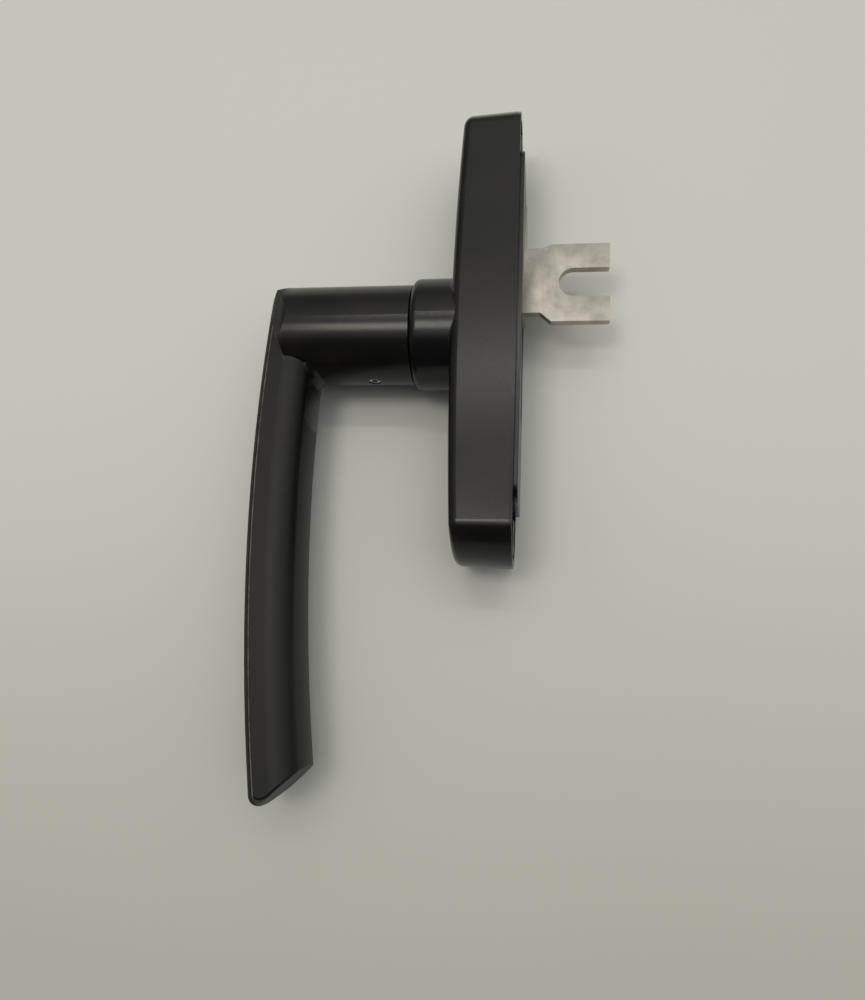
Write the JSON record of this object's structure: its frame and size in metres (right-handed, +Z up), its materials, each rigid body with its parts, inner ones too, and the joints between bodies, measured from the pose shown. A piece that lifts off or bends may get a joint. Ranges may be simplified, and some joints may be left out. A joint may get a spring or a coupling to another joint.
{
  "type": "cremone window handle",
  "caption": "Window handle with a bowed lever on a long rounded base; turning the lever drives a notched steel fork along the sash through a pinion and rack.",
  "frame": {"origin": "on the spindle axis, in the plane of the back rim that rests on the window sash", "axes": "+X across the base, -Y out into the room, +Y into the sash, +Z up the window; the lever hangs down"},
  "size_m": [0.038, 0.1132, 0.2251],
  "materials": {
    "powder_coat": "satin fine-textured powder coat",
    "fork_steel": "bare rolled steel",
    "bright_steel": "ground",
    "spring_steel": "oiled",
    "cast_zinc": "as cast",
    "black_plastic": "moulded",
    "nylon": "moulded"
  },
  "bodies": {
    "base": {"base_housing": "powder_coat", "neck_bush": "nylon", "detent_balls": "bright_steel", "detent_springs": "spring_steel", "thrust_washer": "nylon", "back_plate": "black_plastic", "plate_screws": "spring_steel"},
    "lever": {"lever": "powder_coat", "lever_set_screw": "bright_steel", "spindle": "bright_steel", "pinion": "cast_zinc", "retaining_washer": "bright_steel", "retaining_ring": "spring_steel"},
    "fork": {"rack_slider": "cast_zinc", "drive_fork": "fork_steel", "fork_rivets": "fork_steel"}
  },
  "joints": [
    {"name": "lever_turn", "type": "hinge", "parent": "base", "child": "lever", "pos_m": [0, 0, 0], "axis": [0, -1, 0], "range_deg": [0, 180]},
    {"name": "fork_slide", "type": "slide", "parent": "base", "child": "fork", "axis": [0, 0, 1], "range_m": [-0.0346, 0]}
  ],
  "couplings": [
    {"joint": "fork_slide", "follows": "lever_turn", "m_per_rad": -0.011}
  ]
}
